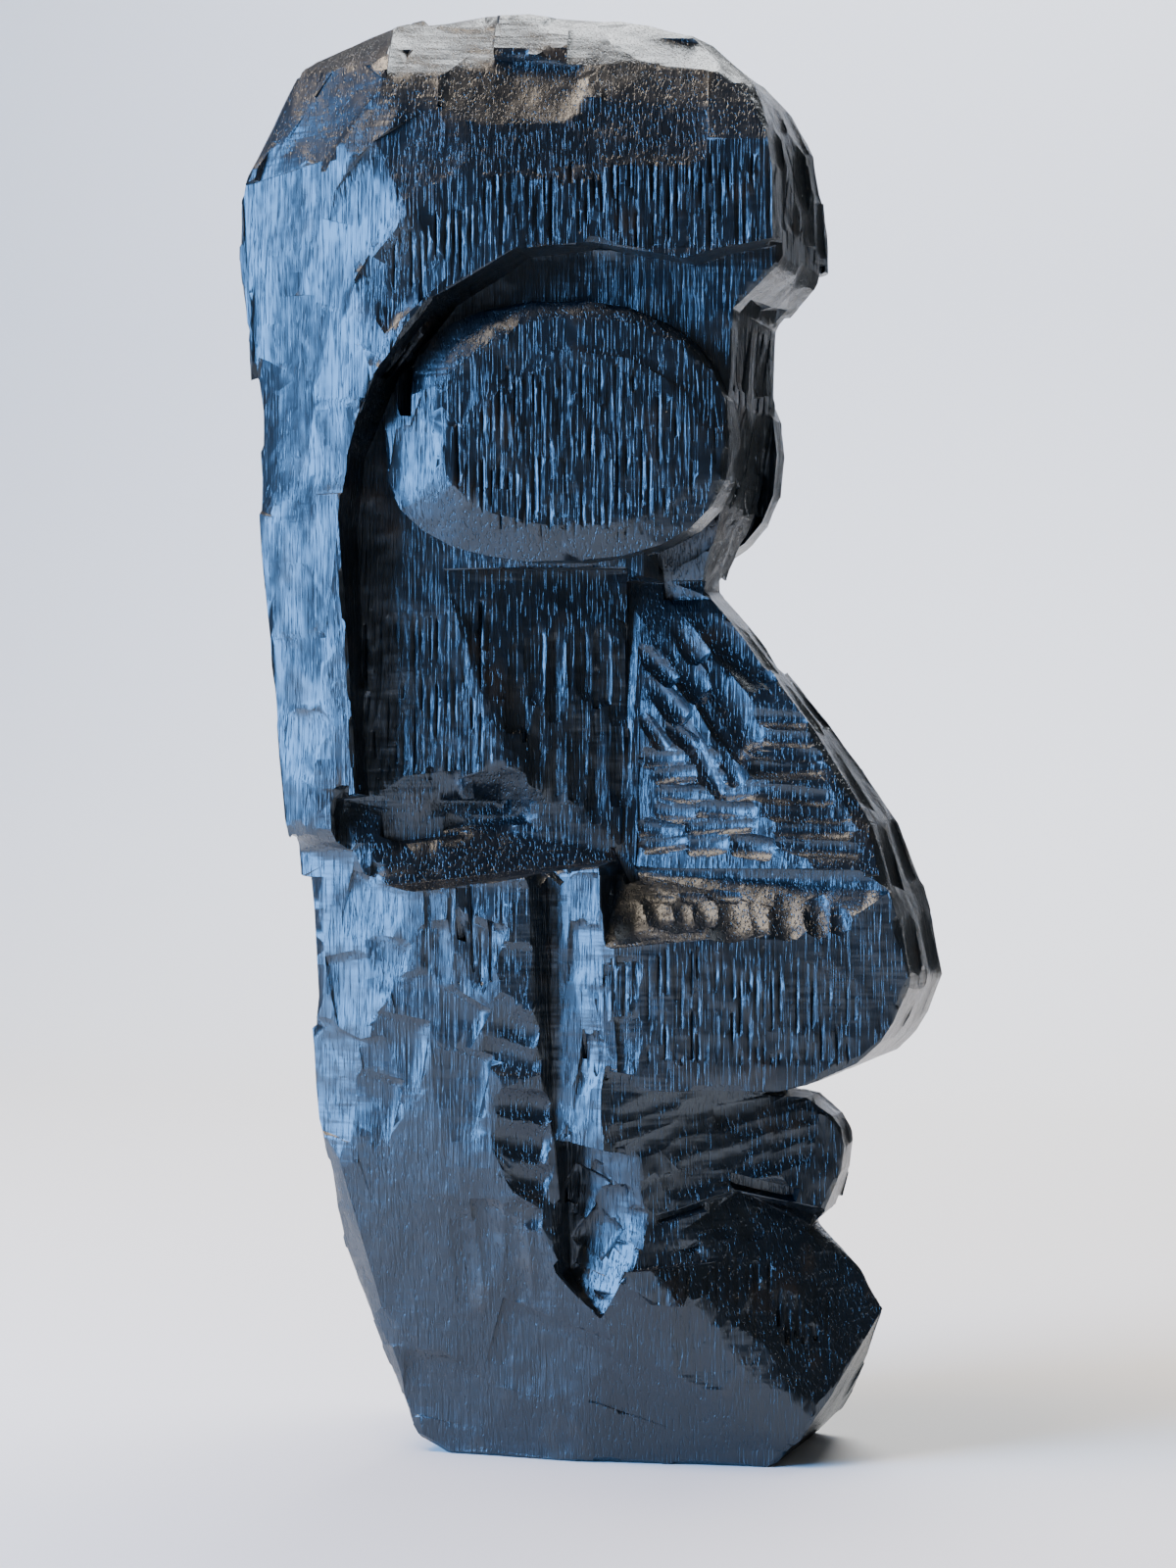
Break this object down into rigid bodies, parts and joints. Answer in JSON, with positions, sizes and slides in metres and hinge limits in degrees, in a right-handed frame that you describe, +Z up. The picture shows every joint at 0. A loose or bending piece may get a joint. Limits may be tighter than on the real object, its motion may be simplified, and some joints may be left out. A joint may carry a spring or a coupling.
{
  "type": "carved wooden head",
  "caption": "Tall narrow human-like head carved in dark stained wood with rough chisel facets, disc eyes, a wedge nose, a jutting chin and a flat cut base",
  "frame": {"origin": "centre of the bounding box at the underside, on the surface that the head stands on", "axes": "+Z runs up from the base to the crown, -Y is the way the face looks, and -X is the head's own right side"},
  "size_m": [0.1384, 0.2069, 0.445],
  "materials": {
    "stained_wood": "blue-black stain rubbed to a satin sheen over tool marks and open grain"
  },
  "bodies": {
    "root": {"carved_head": "stained_wood"}
  },
  "joints": []
}
